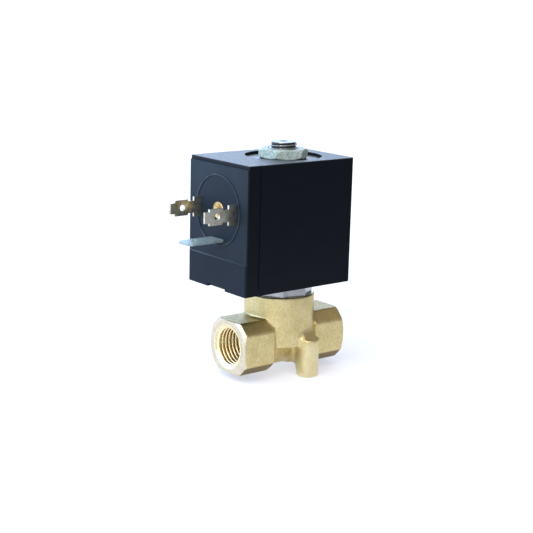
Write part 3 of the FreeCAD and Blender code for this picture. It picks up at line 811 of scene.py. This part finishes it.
def make_port_thread(name, side):
    """Lining of a port, with a painted highlight: its roots lighter along both sides and in the
    lead-in.
    """
    along, place = (side, 0, 0), (side * PORT_END, 0, PORT_Z)
    depth = PORT_THREAD_DEPTH - 0.05
    points, faces, recess = threaded_sleeve(
        PORT_THREAD_R, PORT_THREAD_HEIGHT, PORT_THREAD_PITCH, depth,
        mouth=PORT_MOUTH, columns=160, outside=0.06)
    x, _, z = turned_to(points, along, place).T
    # painted highlight: roots lighter in a band at the port's middle height and near its mouth
    painted_highlight = ramp(2.6 - np.abs(PORT_Z - z + 0.4), 1.4)
    lead_in = ramp(side * x - PORT_END + 2.2, 1.6)
    recess = recess * (1 - 0.8 * np.maximum(painted_highlight, lead_in))
    return tapped_piece(name, (points, faces, recess), along, place)


def make_foot_thread(name, side):
    depth = FOOT_THREAD_DEPTH - 0.05
    sleeve = threaded_sleeve(
        FOOT_THREAD_R, FOOT_THREAD_HEIGHT, FOOT_THREAD_PITCH, depth,
        mouth=0.25, columns=64, outside=0.04)
    return tapped_piece(name, sleeve, (0, 0, -1), (-side * FOOT_X, side * FOOT_Y, 0))


# ---------------------------------------------------------------- nuts and stud
def nut_field(sides, flats, turn, low, high, bore_r, mouth, both_ends):
    """Nut with its corners turned off above, or at both ends, and its bore countersunk above."""
    face_r = flats / 2 - 0.15
    ends = [(high, 1), (low, -1)] if both_ends else [(high, 1)]

    def field(x, y, z):
        radius = np.hypot(x, y)
        blank = blend_max(prism(x, y, sides, flats, turn, 0.12), span(z, low, high), 0.08)
        for level, way in ends:
            chamfer = (radius - face_r) * 0.5 + (z - level) * way * math.sqrt(0.75)
            blank = blend_max(blank, chamfer, 0.06)
        countersink = (radius - bore_r - mouth + high - z) * math.sqrt(0.5)
        return np.maximum(blank, np.maximum(bore_r - radius, -countersink))

    return field


def make_coil_nut():
    low, high = COIL_NUT_LOW, COIL_NUT_HIGH
    field = nut_field(
        6, COIL_NUT_FLATS, COIL_NUT_TURN, low[2], high[2], STUD_R + 0.02,
        mouth=0.5, both_ends=True)
    piece = field_piece(
        "coil_nut_forged", field, low, high, cell=0.13,
        body="valve", smooth_angle=30.0)
    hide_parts("coil_nut")
    return painted(piece, "zinc_plate")


def make_tube_nut():
    low, high = TUBE_NUT_LOW, TUBE_NUT_HIGH
    head = nut_field(
        8, TUBE_NUT_FLATS, TUBE_NUT_TURN, BOSS_TOP_Z, high[2], TUBE_NUT_BORE_R,
        mouth=0.25, both_ends=False)

    def field(x, y, z):
        radius = np.hypot(x, y)
        lead_in = (radius - SKIRT_R + 0.5 + low[2] - z) * math.sqrt(0.5)
        skirt = np.maximum(radius - SKIRT_R, np.maximum(span(z, low[2], BOSS_TOP_Z + 1), lead_in))
        skirt = np.maximum(skirt, TUBE_NUT_BORE_R - radius)
        return np.minimum(head(x, y, z), skirt)

    piece = field_piece(
        "tube_nut_turned", field, low, high, cell=0.2,
        body="valve", smooth_angle=30.0)
    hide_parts("tube_nut")
    return painted(piece, "gland_plate")


def make_fixed_core():
    """Stop with its shading groove below, threaded stud with a turned end above."""
    columns = 96
    low, high = CORE_LOW[2], CORE_HIGH[2]
    stop_r = CORE_HIGH[0]
    groove_z = low + SHADING_DEPTH
    stop = [(SHADING_R0, groove_z), (SHADING_R0, low), (0.4, low)][::-1]
    stop += [(SHADING_R1, groove_z), (SHADING_R1, low), (stop_r - 0.1, low), (stop_r, low + 0.1)]
    stop += [(stop_r, STUD_Z - 0.1), (stop_r - 0.1, STUD_Z), (STUD_ROOT_R, STUD_Z)]
    stud_levels = np.linspace(STUD_Z + 0.1, high, int((high - STUD_Z) / STUD_PITCH * 18))
    radius = thread_profile(stud_levels, columns, STUD_PITCH, STUD_ROOT_R, STUD_R)
    radius = np.minimum(radius, (STUD_R - STUD_CHAMFER + (high - stud_levels))[:, None])
    radius[-1] = STUD_R - STUD_CHAMFER
    plain, plain_levels = rings(stop, columns)
    dimple = [(STUD_R - STUD_CHAMFER - 0.12, high), (1.3, high), (0.2, high - 0.9)]
    end, end_levels = rings(dimple, columns)
    all_radii = np.concatenate([plain, radius, end])
    rising = np.broadcast_to(stud_levels[:, None], radius.shape)
    all_levels = np.concatenate([plain_levels, rising, end_levels])
    points, faces = turned_solid(all_radii, all_levels, columns)
    piece = finished("fixed_core_turned", points, faces, "valve", 32.0)
    recess = np.clip((STUD_R - all_radii) / (STUD_R - STUD_ROOT_R), 0, 1) * (all_levels > STUD_Z)
    on_end = END_RECESS * (all_radii < STUD_R - STUD_CHAMFER - 0.05)
    recess = np.where(all_levels < high - STUD_CHAMFER, recess, on_end)
    vertex_value(piece, "recess", recess.ravel())
    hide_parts("fixed_core")
    return painted(piece, "threaded_steel")


def make_washer():
    broken_copy("coil_washer", "coil_washer_rounded", "valve", "spring_steel", width=0.06)


def make_spring():
    """Wound wire whose last turn at each end lies flat."""
    low, high = SPRING_LOW[2] + SPRING_WIRE_R, SPRING_HIGH[2] - SPRING_WIRE_R
    share = np.linspace(0, 1, 560)
    turns = share * SPRING_TURNS
    climb = np.clip((turns - 0.8) / (SPRING_TURNS - 1.6), 0, 1)
    closed = 2 * SPRING_WIRE_R + 0.02
    level = low + closed * np.clip(turns, 0, 0.8) / 0.8 * 0.9
    level = level + (high - low - 1.8 * closed) * climb
    level = level + closed * np.clip(turns - SPRING_TURNS + 0.8, 0, 0.8) / 0.8 * 0.9
    angle = turns * 2 * math.pi
    path = np.stack([SPRING_R * np.cos(angle), SPRING_R * np.sin(angle), level], 1)
    points, faces = swept_tube(path, SPRING_WIRE_R, 14)
    piece = finished("return_spring_wound", points, faces, "valve", 60.0)
    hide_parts("return_spring")
    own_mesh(piece)
    return painted(piece, "spring_steel")


# ---------------------------------------------------------------- coil
def make_insert():
    """Turned brass insert with a tapped hole for the plug's screw."""
    columns = 72
    depth = INSERT_DEPTH
    level = -np.linspace(0, depth, int(depth / INSERT_PITCH * 14))
    crest_r = INSERT_THREAD_R - INSERT_THREAD_HEIGHT
    inner = thread_profile(level, columns, INSERT_PITCH, INSERT_THREAD_R, crest_r)
    inner = np.maximum(inner, (INSERT_THREAD_R + 0.35 + level)[:, None])
    length = INSERT_HIGH[0] - INSERT_LOW[0]
    outside = [(0.05, -depth - 0.5), (0.05, -length)]
    outside += [(INSERT_R - 0.2, -length), (INSERT_R, -length + 0.2)]
    groove = INSERT_R - 0.4
    outside += [(INSERT_R, -3.5), (groove, -3.5), (groove, -2.5), (INSERT_R, -2.5)]
    outside += [(INSERT_R, -0.15), (INSERT_R - 0.15, 0.0), (INSERT_THREAD_R + 0.55, 0.0)]
    outer, outer_levels = rings(outside, columns)
    all_radii = np.concatenate([outer, inner])
    all_levels = np.concatenate([outer_levels, np.broadcast_to(level[:, None], inner.shape)])
    points = ring_points(all_radii, all_levels, columns).reshape(-1, 3)
    faces = grid_faces(len(all_radii), columns, True).tolist()
    middle_z = (INSERT_LOW[2] + INSERT_HIGH[2]) / 2
    points = turned_to(points, (-1, 0, 0), (INSERT_LOW[0], 0, middle_z))
    piece = finished("screw_insert_turned", points, faces, "coil", 35.0)
    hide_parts("screw_insert")
    return painted(piece, "insert_brass")


def on_coil_rim(x, y, z):
    """Whether a point lies on the upper or lower outline of the coil block."""
    level = min(abs(z - COIL_LOW[2]), abs(z - COIL_HIGH[2])) < 0.02
    at_end = x > COIL_HIGH[0] - 0.9 or x < COIL_LOW[0] + 0.8
    return level and (at_end or abs(y) > COIL_HIGH[1] - 0.9)


def make_coil_shell():
    broken_copy(
        "coil_housing", "coil_moulding", "coil", "coil_resin",
        width=0.14, wide=0.40, on_rim=on_coil_rim)


def make_blades():
    broken_copy("power_blade_left", "blade_left", "coil", "tinned_brass", BLADE_EDGE)
    broken_copy("power_blade_right", "blade_right", "coil", "tinned_brass", BLADE_EDGE)
    broken_copy("earth_blade", "blade_earth", "coil", "bright_tin", BLADE_EDGE)


# ---------------------------------------------------------------- CAD nodes that stay
KEPT = {
    "tube_seal": "seal_rubber", "guide_tube": "stainless", "shading_ring": "pure_copper",
    "plunger": "stainless", "plunger_seal": "seal_rubber",
    "yoke": "yoke_plate", "bobbin": "bobbin_resin", "winding": "copper", "winding_tape": "tape",
    "lead_left": "copper", "lead_right": "copper",
}


# ---------------------------------------------------------------- studio
FLOOR_HALF = 40.0             # metres
FLOOR_EDGE_AZIMUTH = 35.0     # the lit part of the floor ends along this direction,
FLOOR_EDGE = 0.115            # this many metres to the right of the valve
SUN_AZIMUTH = 205
SUN_HEIGHT = 62
# azimuth, height, how tight, radiance
SKY_GLOWS = [
    (205, 40, 2.2, (1.44, 1.45, 1.45)),
    (207, 28, 30.0, (1.50, 1.48, 1.40)),
    (65, 8, 10.0, (2.60, 3.50, 5.00)),
    (140, 10, 12.0, (2.40, 3.60, 5.60)),
    (340, 50, 3.0, (0.16, 0.09, 0.00)),
]
SKY_BASE = (0.26, 0.27, 0.30)
CAMERA_PLACE = (-252.785, -307.365, 124.289)    # millimetres
CAMERA_TARGET = (-3.397, 2.732, 34.018)
CAMERA_ROLL = 1.49
CAMERA_LENS = 85.66
CAMERA_SENSOR = 36.0


def compass(azimuth, height):
    """Unit vector towards an azimuth, from +X, and a height above the horizon, in degrees."""
    azimuth, height = math.radians(azimuth), math.radians(height)
    level = math.cos(height)
    return (level * math.cos(azimuth), level * math.sin(azimuth), math.sin(height))


def make_floor():
    """Pale floor that glows, with a soft edge at the right where the glow ends."""
    mesh = bpy.data.meshes.new("floor")
    signs = [(-1, -1), (1, -1), (1, 1), (-1, 1)]
    mesh.from_pydata([(a * FLOOR_HALF, b * FLOOR_HALF, 0) for a, b in signs], [], [(0, 1, 2, 3)])
    floor = linked("floor", mesh)
    table = Finish("light_table")
    across = table.node("ShaderNodeVectorMath", {0: table.place}, operation="DOT_PRODUCT")
    across.inputs[1].default_value = compass(FLOOR_EDGE_AZIMUTH - 90, 0)
    lit = table.spread(across.outputs["Value"], FLOOR_EDGE - 0.02, FLOOR_EDGE + 0.03, 1.0, 0.0)
    shade = table.mix(table.noise(40.0), rgb(0.50, 0.50, 0.51), rgb(0.52, 0.52, 0.53))
    shade = table.mix(lit, rgb(0.24, 0.24, 0.25), shade)
    glow = table.mix(lit, rgb(0.03, 0.03, 0.035), rgb(0.485, 0.50, 0.56))
    table.set(Base_Color=shade, Roughness=0.9, Specular_IOR_Level=0.1)
    table.set(Emission_Color=glow, Emission_Strength=1.0)
    mesh.materials.append(table.material)


def make_sun():
    sun = bpy.data.lights.new("sun", "SUN")
    sun.energy = 1.0
    sun.angle = math.radians(40)
    sun.color = (1.0, 0.98, 0.94)
    towards = Vector(compass(SUN_AZIMUTH, SUN_HEIGHT))
    linked("sun", sun).rotation_euler = towards.to_track_quat("Z", "Y").to_euler()


def make_sky():
    """Dim sky with broad glows: a key with a brighter core at the front left, blue behind."""
    world = bpy.data.worlds.new("studio")
    bpy.context.scene.world = world
    sky = Recipe(world, "Generated")
    total = SKY_BASE
    for azimuth, height, tight, radiance in SKY_GLOWS:
        inputs = {0: sky.place, 1: compass(azimuth, height)}
        facing = sky.node("ShaderNodeVectorMath", inputs, operation="DOT_PRODUCT").outputs["Value"]
        share = sky.math("POWER", sky.math("MAXIMUM", facing), tight)
        glow = sky.node("ShaderNodeVectorMath", {0: radiance, "Scale": share}, operation="SCALE")
        inputs = {0: glow.outputs[0], 1: total}
        total = sky.node("ShaderNodeVectorMath", inputs, operation="ADD").outputs[0]
    sky.feed(sky.tree.nodes["Background"].inputs["Color"], total)


def make_camera():
    """Camera at the view's angle: a little above the coil, looking at its connector corner."""
    data = bpy.data.cameras.new("camera")
    data.lens = CAMERA_LENS
    data.sensor_width = CAMERA_SENSOR
    data.clip_start = 0.01
    data.clip_end = 100.0
    place, target = Vector(CAMERA_PLACE) * MM, Vector(CAMERA_TARGET) * MM
    roll = Matrix.Rotation(math.radians(CAMERA_ROLL), 4, "Z")
    look = (target - place).to_track_quat("-Z", "Y").to_matrix().to_4x4()
    camera = linked("camera", data)
    camera.matrix_world = Matrix.Translation(place) @ look @ roll
    bpy.context.scene.camera = camera


# ---------------------------------------------------------------- assembly
make_camera()
make_floor()
make_sun()
make_sky()
bpy.context.scene.view_settings.view_transform = "Standard"

make_valve_body()
make_tube_nut()
make_fixed_core()
make_coil_nut()
make_washer()
make_spring()
make_coil_shell()
make_blades()
make_insert()
make_port_thread("inlet_thread", -1)
make_port_thread("outlet_thread", 1)
make_foot_thread("foot_thread_front", -1)
make_foot_thread("foot_thread_back", 1)

for node_name, material_name in KEPT.items():
    painted(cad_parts[node_name], material_name)
